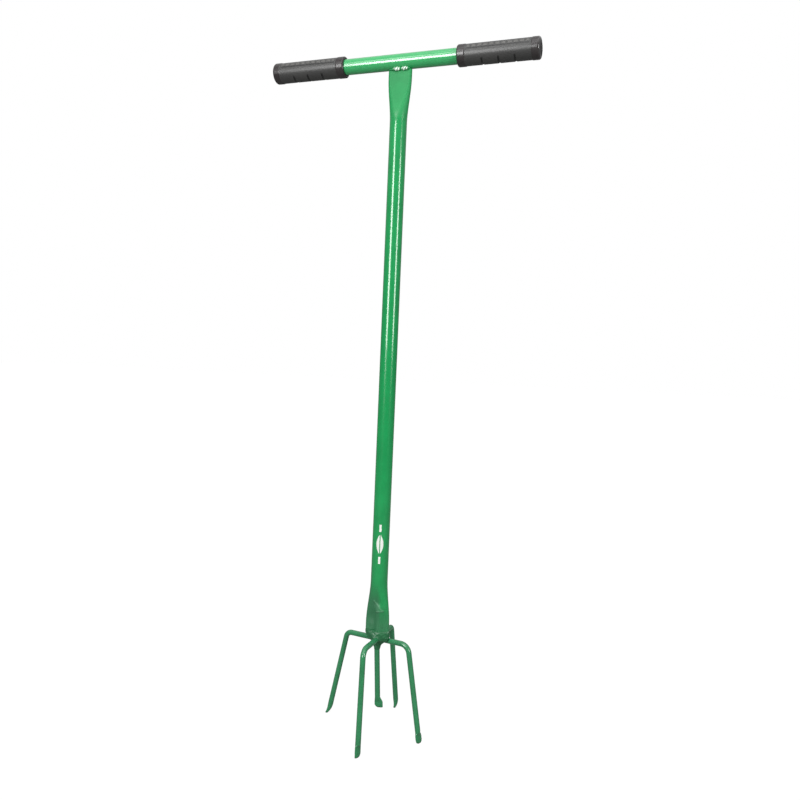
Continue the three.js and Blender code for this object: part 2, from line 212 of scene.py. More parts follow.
def enamel_finish(name, paint, thick, gloss=0.2, coat=0.4, coat_gloss=0.05, relief=0.05, worn=True):
    """Glossy enamel made of the shared group. Where worn, its wear is the piece's own attribute.
    Returns the material, its node tree and its Principled BSDF."""
    material, tree, shader = surface_shader(name)
    wear = wire(tree, "ShaderNodeAttribute", attribute_name="wear").outputs["Fac"] if worn else 0.0
    coatwork = wire(tree, "ShaderNodeGroup", node_tree=enamel)
    for key, value in (("Paint", paint), ("Thick Paint", thick), ("Steel", STEEL),
                       ("Gloss Roughness", gloss), ("Wear", wear)):
        if isinstance(value, bpy.types.NodeSocket):
            tree.links.new(value, coatwork.inputs[key])
        else:
            coatwork.inputs[key].default_value = value
    tree.links.new(coatwork.outputs["Color"], shader.inputs["Base Color"])
    tree.links.new(coatwork.outputs["Roughness"], shader.inputs["Roughness"])
    tree.links.new(calc(tree, "MULTIPLY", coatwork.outputs["Bare"], 0.7), shader.inputs["Metallic"])
    bump = wire(tree, "ShaderNodeBump", {"Height": coatwork.outputs["Height"], "Strength": relief,
                                         "Distance": 0.0006})
    tree.links.new(bump.outputs[0], shader.inputs["Normal"])
    shader.inputs["Coat Weight"].default_value = coat
    shader.inputs["Coat Roughness"].default_value = coat_gloss
    return material, tree, shader


SHAFT_WALL = 1.5
(_, _, MOUTH_Z), (_, SHAFT_RADIUS, SHAFT_TOP) = corners_of("shaft_tube")
TOP_HALF, TOP_FLAT, TOP_TAPER = 3.3, 12.0, 64.0
MOUTH_HALF, MOUTH_FLAT, MOUTH_TAPER = 2.2, 12.0, 66.0
SHANK_X = 3.4
(_, _, CENTRE_END), (_, ROD_RADIUS, SHANK_TOP) = corners_of("tine_centre")
RIDGE_RISE, RIDGE_CROWN, RIDGE_FOOT, RIDGE_FADE = 3.8, 1.8, 9.0, 13.0
# Two fold lines that meet beside the ridge's upper end: x and z of their ends, and their rise.
FOLDS = (((-4.0, 196.5), (10.0, 182.0), 0.75), ((-1.5, 180.5), (10.0, 182.0), 0.7))
FOLD_WIDTH, FOLD_FADE = 1.15, (205.0, 225.0)
# Hammer dents: x, z, half width, half height and depth.
DENTS = ((-7.5, 172.0, 5.0, 9.0, 0.75), (-4.0, 189.0, 4.5, 6.0, 0.35), (-10.0, 156.0, 4.0, 4.0, 0.4))
RIM_DRAW, RIM_REACH = 0.45, 0.2


def half_thickness(z):
    """Half of the tube's overall thickness: its radius, less what each press takes off."""
    top = smooth(z, SHAFT_TOP - TOP_FLAT - TOP_TAPER, SHAFT_TOP - TOP_FLAT)
    mouth = 1.0 - smooth(z, MOUTH_Z + MOUTH_FLAT, MOUTH_Z + MOUTH_FLAT + MOUTH_TAPER)
    return SHAFT_RADIUS - top * (SHAFT_RADIUS - TOP_HALF) - mouth * (SHAFT_RADIUS - MOUTH_HALF)


def near_line(x, z, start, end, width):
    """1 on the line from start to end, falling as a bell of that width away from it."""
    s, e = np.array(start), np.array(end)
    run = e - s
    share = np.clip(((x - s[0]) * run[0] + (z - s[1]) * run[1]) / (run @ run), 0.0, 1.0)
    away = np.hypot(x - s[0] - share * run[0], z - s[1] - share * run[1])
    return np.exp(-(away / width) ** 2)


def bell(x, z, at_x, at_z, wide, tall):
    """1 at the given place, falling as a bell of that half width and half height."""
    return np.exp(-((x - at_x) / wide) ** 2 - ((z - at_z) / tall) ** 2)


def tube_skin(turn, z, inset):
    """The tube's skin, inset from its outer face. The arc length from the edge is kept: the
    first quarter circle of it turns about the edge, and the rest runs straight over the flat.
    Over the shank each wall stands out in a ridge, and the presses leave folds and dents."""
    half = half_thickness(z)
    arc = np.arctan2(abs(np.sin(turn)), abs(np.cos(turn))) * SHAFT_RADIUS
    edge = np.pi / 2 * half
    flat = np.pi / 2 * (SHAFT_RADIUS - half)
    angle = np.minimum(arc, edge) / half
    x = np.sign(np.cos(turn)) * (flat - np.maximum(arc - edge, 0.0) + (half - inset) * np.cos(angle))
    side = np.sign(np.sin(turn))
    y = side * (half - inset) * np.sin(angle)
    ridge = 1.0 - smooth(abs(x - SHANK_X), RIDGE_CROWN, RIDGE_FOOT)
    ridge = ridge * (1.0 - smooth(z, SHANK_TOP, SHANK_TOP + RIDGE_FADE))
    pressed = 1.0 - smooth(z, *FOLD_FADE)
    folds = sum(near_line(x, z, a, b, FOLD_WIDTH) * rise for a, b, rise in FOLDS)
    dents = sum(deep * bell(x, z, *place) for *place, deep in DENTS)
    face = np.clip(np.sin(angle), 0.0, 1.0) ** 2
    y = y + side * (RIDGE_RISE * ridge + pressed * (folds - dents) * face)
    return np.stack([x, y, np.broadcast_to(z, x.shape)], axis=-1)


turn = np.linspace(0.0, 2 * np.pi, 120, endpoint=False)[None, :]
# The rings stand closest together at the two presses and the rims.
heights = np.concatenate([
    MOUTH_Z + np.array([0.0, 0.25]), np.linspace(MOUTH_Z + 0.8, 232.0, 100), np.linspace(236.0, 880.0, 60),
    np.linspace(884.0, SHAFT_TOP - 0.8, 44), SHAFT_TOP - np.array([0.25, 0.0])])[:, None]
# The skin draws in a little on each rim, as a sawn edge does under paint.
rim = RIM_DRAW * np.exp(-np.minimum(heights - MOUTH_Z, SHAFT_TOP - heights) / RIM_REACH)
outer = tube_skin(turn, heights, rim)
inner = tube_skin(turn, heights[::-1], SHAFT_WALL - rim[::-1])
rows = np.concatenate([outer, inner])
# Darker, duller green from the mouth up, most of all on the pressed flat left of the ridge, and
# higher up along the tube's left side. Near the mouth it stands for paint dulled by the welding;
# on the left side, which faces away from the lamps, it is painted shade.
SCORCH_FADE, RIDGE_SCORCH_FADE, SIDE_SCORCH_FADE = (180.0, 236.0), (154.0, 205.0), (215.0, 290.0)
RIDGE_SCORCH, SIDE_SCORCH = 0.75, 0.8
x, z = rows[..., 0], rows[..., 2]
left = 1.0 - smooth(x, 1.0, 8.0)
on_ridge = blend(RIDGE_SCORCH, 0.0, smooth(z, *RIDGE_SCORCH_FADE))
scorch = (1.0 - smooth(z, *SCORCH_FADE)) * blend(on_ridge, 1.0, left)
up_side = SIDE_SCORCH * (1.0 - smooth(x, -10.5, -4.5)) * (1.0 - smooth(z, *SIDE_SCORCH_FADE))
scorch = np.maximum(scorch, up_side)
# Painted highlights: paler green is painted along the folds and on one hammer mark, where they
# catch the light. Each line's ends, width and strength, then the patch's x, z, half width and
# half height, and its strength.
PALE_LINES = (((-4.0, 196.5), (10.0, 182.0), 1.0, 0.75), ((1.0, 181.0), (10.0, 182.0), 0.9, 0.9),
              ((-1.5, 190.0), (5.0, 184.5), 3.4, 0.28))
PALE_PATCH, PALE_PATCH_STRENGTH = (-8.4, 163.0, 3.2, 4.2), 0.5
pale = sum(strong * near_line(x, z, a, b, wide) for a, b, wide, strong in PALE_LINES)
pale = pale + PALE_PATCH_STRENGTH * bell(x, z, *PALE_PATCH)
# The press under the crossbar left the flat without the shine of the round tube.
PRESS_MARK = (896.0, 914.0)
shaft = skin("shaft", rows, ends="ring", scorch=scorch, pale=np.clip(pale, 0.0, 1.0),
             pressed=smooth(z, *PRESS_MARK))

GREEN = (0.009, 0.295, 0.080, 1.0)
GREEN_THICK = (0.006, 0.252, 0.067, 1.0)
# A darker green: painted shade on the tube's left side, and weld-dulled paint near the mouth.
SCORCHED_GREEN = (0.032, 0.176, 0.074, 1.0)
# A paler green: painted highlight.
PALE_GREEN = (0.14, 0.30, 0.19, 1.0)
PRINT_WHITE = (0.80, 0.82, 0.78, 1.0)
tube_finish, tree, shader = enamel_finish("green_enamel_tube", GREEN, GREEN_THICK, relief=0.025,
                                          worn=False)

# The print: one plain leaf with a stripe above and below it, on the side that faces forward.
PRINT_TURN, PRINT_Z = math.radians(-76.0), 0.2825
LEAF_HALF_LENGTH, LEAF_HALF_WIDTH, VEIN_HALF_WIDTH = 15.0, 5.3, 0.7
STRIPE_HALF_WIDTH, STRIPE_START, STRIPE_END = 1.6, 18.5, 29.0
spot = wire(tree, "ShaderNodeTexCoord").outputs["Object"]
place = wire(tree, "ShaderNodeSeparateXYZ", {0: spot})
around = calc(tree, "SUBTRACT", calc(tree, "ARCTAN2", place.outputs[1], place.outputs[0]), PRINT_TURN)
across = calc(tree, "ABSOLUTE", calc(tree, "MULTIPLY", around, SHAFT_RADIUS))
up = calc(tree, "ABSOLUTE", calc(tree, "DIVIDE", calc(tree, "SUBTRACT", place.outputs[2], PRINT_Z), MM))
# The leaf's half width falls from its middle as the square of the way to its point.
toward_point = calc(tree, "POWER", calc(tree, "DIVIDE", up, LEAF_HALF_LENGTH), 2.0)
leaf_edge = calc(tree, "MULTIPLY", calc(tree, "SUBTRACT", 1.0, toward_point), LEAF_HALF_WIDTH)
leaf = calc(tree, "MULTIPLY", calc(tree, "LESS_THAN", across, leaf_edge),
            calc(tree, "GREATER_THAN", across, VEIN_HALF_WIDTH))
stripe_length = calc(tree, "MULTIPLY", calc(tree, "GREATER_THAN", up, STRIPE_START),
                     calc(tree, "LESS_THAN", up, STRIPE_END))
stripe = calc(tree, "MULTIPLY", calc(tree, "LESS_THAN", across, STRIPE_HALF_WIDTH), stripe_length)
printed = calc(tree, "MAXIMUM", leaf, stripe)
thin_ink = wire(tree, "ShaderNodeTexNoise", {"Vector": spot, "Scale": 900.0, "Detail": 3.0}).outputs[0]
ink = calc(tree, "MULTIPLY", printed, ramp(tree, thin_ink, 0.28, 0.36, 0.55, 1.0))
clean = shader.inputs["Base Color"].links[0].from_socket
# Painted shade: darker green on the left side and near the mouth, where the weld also dulled the paint.
dulled = ramp(tree, wire(tree, "ShaderNodeAttribute", attribute_name="scorch").outputs["Fac"], 0.05, 0.85)
under = mix_colour(tree, dulled, clean, SCORCHED_GREEN)
# Painted highlight: paler green along the folds and on one dent.
pale = wire(tree, "ShaderNodeAttribute", attribute_name="pale").outputs["Fac"]
under = mix_colour(tree, calc(tree, "MULTIPLY", pale, 0.5), under, PALE_GREEN)
pressed = wire(tree, "ShaderNodeAttribute", attribute_name="pressed").outputs["Fac"]
matt = calc(tree, "MAXIMUM", dulled, pressed)
tree.links.new(ramp(tree, matt, 0.0, 1.0, 0.4, 0.0), shader.inputs["Coat Weight"])
sheen = shader.inputs["Roughness"].links[0].from_socket
duller = calc(tree, "ADD", calc(tree, "MULTIPLY", matt, 0.3), calc(tree, "MULTIPLY", pressed, 0.1))
tree.links.new(calc(tree, "ADD", sheen, duller), shader.inputs["Roughness"])
tree.links.new(mix_colour(tree, ink, under, PRINT_WHITE), shader.inputs["Base Color"])

shaft.data.materials.append(tube_finish)
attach(shaft, "root")
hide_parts("shaft_tube")


# ---------------------------------------------------------------------------
# Crossbar. A 22 mm steel tube with a 1.5 mm wall, cut square and welded across the top of the
# shaft. Its ends are inside the grips, and the rest has the shaft's enamel, painted a lighter
# green as painted light.
# ---------------------------------------------------------------------------
BAR_WALL, BAR_CHAMFER = 1.5, 0.3
(_, _, BAR_BOTTOM), (BAR_END, BAR_RADIUS, BAR_TOP) = corners_of("crossbar_tube")
BAR_Z = (BAR_BOTTOM + BAR_TOP) / 2
# A lighter copy of the shaft's green: painted light on the crossbar.
BAR_GREEN = (0.036, 0.400, 0.125, 1.0)
BAR_GREEN_THICK = (0.028, 0.350, 0.105, 1.0)
along = np.concatenate([[-BAR_END, -BAR_END + 0.4], np.linspace(-BAR_END + 4, BAR_END - 4, 90),
                        [BAR_END - 0.4, BAR_END]])[:, None]
turn = np.linspace(0.0, 2 * np.pi, 96, endpoint=False)[None, :]


def bar_skin(x, radius):
    """A ring of that radius about the bar's axis at each place x along it."""
    return np.stack([np.broadcast_to(x, (len(x), turn.shape[1])), radius * np.cos(turn) + 0 * x,
                     BAR_Z + radius * np.sin(turn) + 0 * x], axis=-1)


chamfer = BAR_CHAMFER * (abs(along) > BAR_END - 0.2)
crossbar = skin("crossbar", np.concatenate([bar_skin(along, BAR_RADIUS - chamfer),
                                            bar_skin(along[::-1], BAR_RADIUS - BAR_WALL + chamfer[::-1])]),
                ends="ring")
bar_finish, _, _ = enamel_finish("green_enamel_bar", BAR_GREEN, BAR_GREEN_THICK, coat=0.7,
                                 coat_gloss=0.13, relief=0.01, worn=False)
crossbar.data.materials.append(bar_finish)
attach(crossbar, "root")
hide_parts("crossbar_tube")


# ---------------------------------------------------------------------------
# Grips. Two closed sleeves moulded in black plastic and pushed on the bar's ends. Each has a
# smooth collar at both ends. The middle between them is matt, with two rows of raised dashes on
# each shoulder, a fine groove below them, and three finger slots across the underside. The
# dashes are painted grey as a painted highlight, and the slots, grooves and end face are painted
# near black as painted shade.
# ---------------------------------------------------------------------------
(GRIP_START, _, _), (GRIP_END, GRIP_RADIUS, _) = corners_of("grip_right")
GRIP_LENGTH, GRIP_BORE = GRIP_END - GRIP_START, 11.3
END_WALL, LIP_ROUND, NOSE_ROUND, END_DOME, END_FLAT = 3.0, 2.2, 3.0, 0.8, 7.0
COLLAR_IN, COLLAR_OUT, MIDDLE_SINK = 11.5, 12.0, 0.45
SLOT_PLACES, SLOT_HALF, SLOT_DEPTH = (0.305, 0.505, 0.7), 1.35, 0.7
DASH_ANGLES = np.radians([28.0, 36.0, 144.0, 152.0])
DASH_PITCH, DASH_LENGTH, DASH_WIDTH, DASH_RISE = 8.4, 5.8, 1.25, 0.3
LINE_ANGLES, LINE_DEPTH = np.radians([17.0, 163.0]), 0.4
COLLAR_BLACK = (0.020, 0.015, 0.016, 1.0)
MATT_BLACK = (0.038, 0.038, 0.037, 1.0)
RUBBED_BLACK = (0.054, 0.053, 0.050, 1.0)
DASH_GREY = (0.13, 0.127, 0.118, 1.0)
SLOT_BLACK = (0.004, 0.004, 0.004, 1.0)
FACE_BLACK = (0.003, 0.003, 0.003, 1.0)


def grip_profile():
    """Place along the grip from its inner end, and radius, from the middle of the inside of the
    end wall, down the bore, round the lip, along the outside, round the nose, to the middle of
    the end face."""
    quarter = np.linspace(0.0, np.pi / 2, 9)[:, None]
    inside = np.array([[GRIP_LENGTH - END_WALL, 3.0], [GRIP_LENGTH - END_WALL, GRIP_BORE - 0.1],
                       [GRIP_LENGTH - END_WALL - 0.3, GRIP_BORE], [60.0, GRIP_BORE], [0.5, GRIP_BORE],
                       [0.0, GRIP_BORE + 0.4], [0.0, GRIP_RADIUS - LIP_ROUND - 0.3]])
    lip = np.hstack([LIP_ROUND * (1 - np.cos(quarter)),
                     GRIP_RADIUS - LIP_ROUND + LIP_ROUND * np.sin(quarter)])
    nose_start = GRIP_LENGTH - END_DOME - NOSE_ROUND
    barrel = np.linspace(LIP_ROUND + 0.3, nose_start - 0.3, 250)[:, None]
    barrel = np.hstack([barrel, np.full_like(barrel, GRIP_RADIUS)])
    nose = np.hstack([nose_start + NOSE_ROUND * np.sin(quarter),
                      GRIP_RADIUS - NOSE_ROUND + NOSE_ROUND * np.cos(quarter)])
    face = np.array([[GRIP_LENGTH - 0.25, 9.4], [GRIP_LENGTH, END_FLAT], [GRIP_LENGTH, 3.0]])
    return np.vstack([inside, lip, barrel, nose, face])


def grip(name, side):
    """The profile turned about the bar. Between the collars the radius loses the middle's sink,
    the slots' depth on the underside and the grooves' depth, and gains the dashes' rise. Each
    of these is a product of smooth steps along the grip and round it."""
    place, radius = (column[:, None] for column in grip_profile().T)
    turn = np.linspace(0.0, 2 * np.pi, 168, endpoint=False)[None, :]
    barrel = smooth(radius, GRIP_RADIUS - 0.6, GRIP_RADIUS - 0.05)
    middle = barrel * smooth(place, COLLAR_IN - 0.45, COLLAR_IN + 0.45) \
        * (1 - smooth(place, GRIP_LENGTH - COLLAR_OUT - 0.45, GRIP_LENGTH - COLLAR_OUT + 0.45))
    below = smooth(-np.sin(turn), 0.62, 0.76)
    slots = sum(1 - smooth(abs(place - share * GRIP_LENGTH), SLOT_HALF - 0.35, SLOT_HALF + 0.2)
                for share in SLOT_PLACES)
    step = np.mod(place - COLLAR_IN, DASH_PITCH) - DASH_PITCH / 2
    field = smooth(place, COLLAR_IN + 3, COLLAR_IN + 3.5) \
        * (1 - smooth(place, GRIP_LENGTH - COLLAR_OUT - 3.5, GRIP_LENGTH - COLLAR_OUT - 3))
    long = 1 - smooth(abs(step), DASH_LENGTH / 2 - 0.4, DASH_LENGTH / 2 + 0.2)
    rows = sum(1 - smooth(abs(turn - a) * GRIP_RADIUS, DASH_WIDTH / 2 - 0.2, DASH_WIDTH / 2 + 0.35)
               for a in DASH_ANGLES)
    lines = sum(1 - smooth(abs(turn - a) * GRIP_RADIUS, 0.6, 1.5) for a in LINE_ANGLES)
    r = radius + middle * (-MIDDLE_SINK - SLOT_DEPTH * slots * below + DASH_RISE * long * rows * field
                           - LINE_DEPTH * lines)
    x = side * (GRIP_END - GRIP_LENGTH + place) + 0 * turn
    rows_xyz = np.stack([x, -r * np.cos(turn), BAR_Z + r * np.sin(turn)], axis=-1)
    rim_light = smooth(place, GRIP_LENGTH - 3.6, GRIP_LENGTH - 1.6) \
        * (1 - smooth(place, GRIP_LENGTH - 1.0, GRIP_LENGTH - 0.2))
    # The dash mask carries the dashes' painted highlight; the slot and face masks carry painted shade.
    return skin(name, rows_xyz, matt=middle + 0 * turn, rim=rim_light + 0 * turn,
                dash=middle * long * rows * field,
                slot=middle * np.maximum(slots * below, lines * field),
                face=smooth(place, GRIP_LENGTH - 1.7, GRIP_LENGTH - 0.9) + 0 * turn)


grip_finish, tree, shader = surface_shader("black_moulded_plastic")
matt = wire(tree, "ShaderNodeAttribute", attribute_name="matt").outputs["Fac"]
rim_light = wire(tree, "ShaderNodeAttribute", attribute_name="rim").outputs["Fac"]
dash = wire(tree, "ShaderNodeAttribute", attribute_name="dash").outputs["Fac"]
place = wire(tree, "ShaderNodeTexCoord").outputs["Object"]
grain = wire(tree, "ShaderNodeTexNoise",
             {"Vector": place, "Scale": 1500.0, "Detail": 3.0, "Roughness": 0.6}).outputs[0]
pits = wire(tree, "ShaderNodeTexVoronoi", {"Vector": place, "Scale": 1100.0}).outputs["Distance"]
dull = wire(tree, "ShaderNodeTexNoise", {"Vector": place, "Scale": 55.0, "Detail": 3.0}).outputs[0]
base = mix_colour(tree, matt, COLLAR_BLACK, MATT_BLACK)
base = mix_colour(tree, calc(tree, "MULTIPLY", ramp(tree, dull, 0.4, 0.7), 0.35), base, RUBBED_BLACK)
# Painted highlight: the raised dashes are painted grey.
base = mix_colour(tree, calc(tree, "MULTIPLY", dash, 0.8), base, DASH_GREY)
# Painted shade: near black in the finger slots and the fine grooves.
slot = wire(tree, "ShaderNodeAttribute", attribute_name="slot").outputs["Fac"]
base = mix_colour(tree, slot, base, SLOT_BLACK)
# Painted shade: the end face is painted near black.
face = wire(tree, "ShaderNodeAttribute", attribute_name="face").outputs["Fac"]
base = mix_colour(tree, face, base, FACE_BLACK)
tree.links.new(base, shader.inputs["Base Color"])
rough = calc(tree, "ADD", ramp(tree, matt, 0.0, 1.0, 0.27, 0.36), calc(tree, "MULTIPLY", grain, 0.05))
rough = calc(tree, "SUBTRACT", rough, calc(tree, "MULTIPLY", rim_light, 0.1))
rough = calc(tree, "ADD", rough, calc(tree, "MULTIPLY", face, 0.4), clamp=True)
tree.links.new(rough, shader.inputs["Roughness"])
texture = calc(tree, "MULTIPLY", calc(tree, "ADD", grain, calc(tree, "MULTIPLY", pits, 0.8)), matt)
bump = wire(tree, "ShaderNodeBump", {"Height": texture, "Strength": 0.08, "Distance": 0.0004})
tree.links.new(bump.outputs[0], shader.inputs["Normal"])
shader.inputs["Specular IOR Level"].default_value = 0.6
tree.links.new(rim_light, shader.inputs["Coat Weight"])
shader.inputs["Coat Roughness"].default_value = 0.08

for name, side, node in (("left_grip", -1, "grip_left"), ("right_grip", 1, "grip_right")):
    sleeve = grip(name, side)
    sleeve.data.materials.append(grip_finish)
    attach(sleeve, "root")
    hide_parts(node)


# ---------------------------------------------------------------------------
# Left and right tines. One 8 mm steel rod bent to a U that passes behind the centre tine. Each
# leg's end is hammered to a blade. It is painted with the rest, in a darker green as painted
# shade, and worn bare at the tips.
# ---------------------------------------------------------------------------
BLADE_LENGTH, BLADE_WIDTH, BLADE_THICK = 16.0, 12.0, 3.3
TIP_WEAR, HAMMER_DEPTH = 0.8, 0.25
ROD_SIDES = 40
# A darker copy of the shaft's green: painted shade on the tines.
TINE_GREEN = (0.030, 0.228, 0.089, 1.0)
TINE_THICK = (0.023, 0.184, 0.071, 1.0)


def bent_line(points, radii):
    """Straight runs through the points, with each inner corner rounded to its radius: the arc
    leaves the runs radius x tan(half the turn) before the corner, as a cubic curve whose
    handles are 4/3 x radius x tan(quarter of the turn)."""
    points = [np.array(p, float) for p in points]
    t = np.linspace(0.0, 1.0, 25)[:, None]
    parts, start = [], points[0]
    for k, radius in enumerate(radii, 1):
        back, ahead = unit(points[k - 1] - points[k]), unit(points[k + 1] - points[k])
        bend = np.pi - np.arccos(np.clip(back @ ahead, -1.0, 1.0))
        enter, leave = (points[k] + radius * np.tan(bend / 2) * d for d in (back, ahead))
        handle = 4 / 3 * radius * np.tan(bend / 4)
        parts += [blend(start, enter, t[:-1]),
                  ((1 - t) ** 3 * enter + 3 * (1 - t) ** 2 * t * (enter - handle * back)
                   + 3 * (1 - t) * t * t * (leave - handle * ahead) + t ** 3 * leave)[:-1]]
        start = leave
    return np.vstack([*parts, blend(start, points[-1], t)])


def bent_rod(name, points, radii, blades, facing):
    """A circle of the rod's radius carried along the bent line. It stays square to the line, and
    one side of it keeps facing the given way. It draws in at both cut ends, and each end that
    is a tip is then forged."""
    line = bent_line(points, radii)
    length = np.concatenate([[0.0], np.cumsum(np.linalg.norm(np.diff(line, axis=0), axis=1))])
    whole = length[-1]
    fine = np.array([0.0, 0.0, 0.08, 0.3])
    scales = np.array([0.35, 0.82, 0.94, 1.0])
    near = np.linspace(0.7, 24.0, 56)
    stops = np.concatenate([fine, near, np.arange(25.2, whole - 24.6, 1.3), whole - near[::-1],
                            whole - fine[::-1]])
    scale = np.ones(len(stops))
    scale[:4], scale[-4:] = scales, scales[::-1]
    centre, before, beyond = (
        np.stack([np.interp(stops + step, length, line[:, k]) for k in range(3)], axis=-1)
        for step in (0.0, -0.6, 0.6))
    tangent = unit(beyond - before)
    facing = np.array(facing, float)
    side = unit(facing - (tangent @ facing)[:, None] * tangent)
    other = np.cross(tangent, side)
    turn = np.linspace(0.0, 2 * np.pi, ROD_SIDES, endpoint=False)[None, :, None]
    reach = (ROD_RADIUS * scale)[:, None, None]
    rows = centre[:, None] + reach * (np.cos(turn) * side[:, None] + np.sin(turn) * other[:, None])
    wear = np.zeros(rows.shape[:2])
    for corner, foot, blade in blades:
        rows, wear = forge(rows, wear, np.array(corner, float), np.array(foot, float), **blade)
    # Rounding in the forging can't leave a point below the ground.
    rows[..., 2] = np.maximum(rows[..., 2], 0.0)
    return skin(name, rows, wear=wear)


def forge(rows, wear, corner, foot, face, corners, shoulder, width=BLADE_WIDTH, thick=BLADE_THICK,
          thin_edge=0.72, lean=0.0, aside=0.0, notch=0.0):
    """Near the foot, a point's distance along the way the blade is wide, at face degrees, grows
    to the blade's width, and its distance through it shrinks to the blade's thick, over the
    shoulder's length. The blade then thins to the share thin_edge at its end, and bends aside
    by as much as given, as the cube of the way down. Its two corners are rounded to quarter
    circles of the given radii. Lean moves the whole blade sideways, notch narrows one side of
    its neck by that share, and two crossed waves stand for the hammer marks."""
    run = unit(foot - corner)
    wide = np.array([math.cos(math.radians(face)), math.sin(math.radians(face)), 0.0])
    wide = unit(wide - (wide @ run) * run)
    thin = unit(np.cross(wide, run))
    local = rows - foot
    above, across, through = -(local @ run), local @ wide, local @ thin
    here = (above < BLADE_LENGTH + 4) & (np.hypot(across, through) < 9)
    drawn = smooth(BLADE_LENGTH - above, 0.0, shoulder)
    share = np.clip(1 - above / BLADE_LENGTH, 0.0, 1.0)
    waves = np.sin(above * 1.9 + across * 0.7) + np.sin(above * 1.1 - across * 1.3 + 2.0)
    hammer = HAMMER_DEPTH * waves * drawn * share
    limit = np.ones_like(above)
    for sign, radius in ((1, corners[0]), (-1, corners[1])):
        deep = np.clip(radius - above, 0.0, radius)
        held = (width / 2 - radius + np.sqrt(np.maximum(radius ** 2 - deep ** 2, 0.0))) / (width / 2)
        limit = np.where(np.sign(across) == sign, held, limit)
    pinch = 1 - notch * np.exp(-((above - BLADE_LENGTH + 1) / 1.3) ** 2) * (across > 0)
    widened = blend(1.0, width / (2 * ROD_RADIUS), drawn)
    new_across = across * widened * limit * pinch + lean * drawn
    edge = blend(1.0, thin_edge, smooth(share, 0.6, 1.0))
    thinned = blend(1.0, thick * edge / (2 * ROD_RADIUS), drawn)
    new_through = through * thinned + aside * share ** 3 + hammer * 0.35
    moved = foot - above[..., None] * run + new_across[..., None] * wide + new_through[..., None] * thin
    # The end is levelled, so that the blade stands flat on the ground.
    level = (foot[2] + above * abs(run[2]) - moved[..., 2]) / run[2] * (1 - smooth(above, 0.0, 6.0))
    moved = moved + level[..., None] * run
    near_tip = 1 - smooth(above, 0.0, 3.2)
    rows = np.where(here[..., None], moved, rows)
    wear = np.maximum(wear, np.where(here, TIP_WEAR * near_tip, 0.0))
    return rows, wear


def below_mouth(x, y, drop):
    """A point that drop below the shaft's mouth."""
    return (x, y, MOUTH_Z - drop)


LEFT_CORNER, LEFT_FOOT = below_mouth(-55.7, 19.9, 16.2), (-83.5, 22.8, 0.0)
RIGHT_CORNER, RIGHT_FOOT = below_mouth(49.5, -1.1, 13.3), (75.8, -10.7, 0.0)
pair = bent_rod(
    "left_and_right_tines", [LEFT_FOOT, LEFT_CORNER, RIGHT_CORNER, RIGHT_FOOT], [10.0, 14.0],
    [(LEFT_CORNER, LEFT_FOOT,
      dict(face=95, thick=5.2, thin_edge=0.85, aside=3.0, corners=(2.5, 3.5), shoulder=16.0)),
     (RIGHT_CORNER, RIGHT_FOOT,
      dict(face=66, width=12.6, aside=-0.5, corners=(4.8, 4.0), shoulder=6.0, notch=0.28))],
    facing=(0.2, 1.0, 0.0))
tine_finish, _, _ = enamel_finish("green_enamel_tine", TINE_GREEN, TINE_THICK, relief=0.08)
pair.data.materials.append(tine_finish)
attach(pair, "root")
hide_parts("tine_pair")


# ---------------------------------------------------------------------------
# Front tine. An 8 mm rod bent to a hook, welded on the front of the centre tine. Its blade has
# a hard shoulder where the hammering began, one sharp corner and one rounded.
# ---------------------------------------------------------------------------
FRONT_START = below_mouth(2.17, -4.3, 10.5)
FRONT_CORNER, FRONT_FOOT = below_mouth(0.0, -53.7, 10.5), (9.1, -83.5, 0.0)
front = bent_rod(
    "front_tine", [FRONT_START, FRONT_CORNER, FRONT_FOOT], [14.0],
    [(FRONT_CORNER, FRONT_FOOT,
      dict(face=66, width=11.0, aside=-0.5, corners=(5.0, 1.2), shoulder=2.6))],
    facing=(1.0, 0.0, 0.0))
front.data.materials.append(tine_finish)
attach(front, "root")
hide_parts("tine_front")


# ---------------------------------------------------------------------------
# Back tine. The same rod bent to a tighter hook, welded behind the rod that passes the shank.
# Its blade is edge-on to the front, and its end is bent aside.
# ---------------------------------------------------------------------------
BACK_START = below_mouth(3.3, 13.6, 10.5)
BACK_CORNER, BACK_FOOT = below_mouth(2.9, 56.4, 10.5), (7.4, 82.8, 0.0)
back = bent_rod(
    "back_tine", [BACK_START, BACK_CORNER, BACK_FOOT], [8.0],
    [(BACK_CORNER, BACK_FOOT,
      dict(face=98, thick=4.8, thin_edge=0.8, aside=2.6, corners=(3.0, 3.0), shoulder=16.0))],
    facing=(1.0, 0.0, 0.0))
back.data.materials.append(tine_finish)
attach(back, "root")
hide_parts("tine_back")


# ---------------------------------------------------------------------------
# Centre tine. A straight rod, shorter than the others. Its upper part is the shank inside the
# shaft's pressed mouth, and it is cranked a little in the weld.
# ---------------------------------------------------------------------------
CRANK_END, CENTRE_FOOT = below_mouth(0.7, 0.0, 23.0), (5.8, 0.0, CENTRE_END)
centre = bent_rod(
    "centre_tine",
    [(SHANK_X, 0.0, SHANK_TOP), (SHANK_X, 0.0, MOUTH_Z), CRANK_END, CENTRE_FOOT], [30.0, 30.0],
    [(CRANK_END, CENTRE_FOOT, dict(face=12, width=12.4, lean=1.6, corners=(1.2, 5.0), shoulder=9.0))],
    facing=(0.0, 1.0, 0.0))
centre.data.materials.append(tine_finish)
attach(centre, "root")
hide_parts("tine_centre")


# ---------------------------------------------------------------------------
# Top welds. One bead of weld metal under the crossbar on each face of the flattened shaft. The
# bead is a row of overlapping ripples with two fat lumps, under the same enamel.
# ---------------------------------------------------------------------------
BEAD_HALF, BEAD_RADIUS, BEAD_OUT, BEAD_Z = 15.6, 1.75, 4.3, 971.5
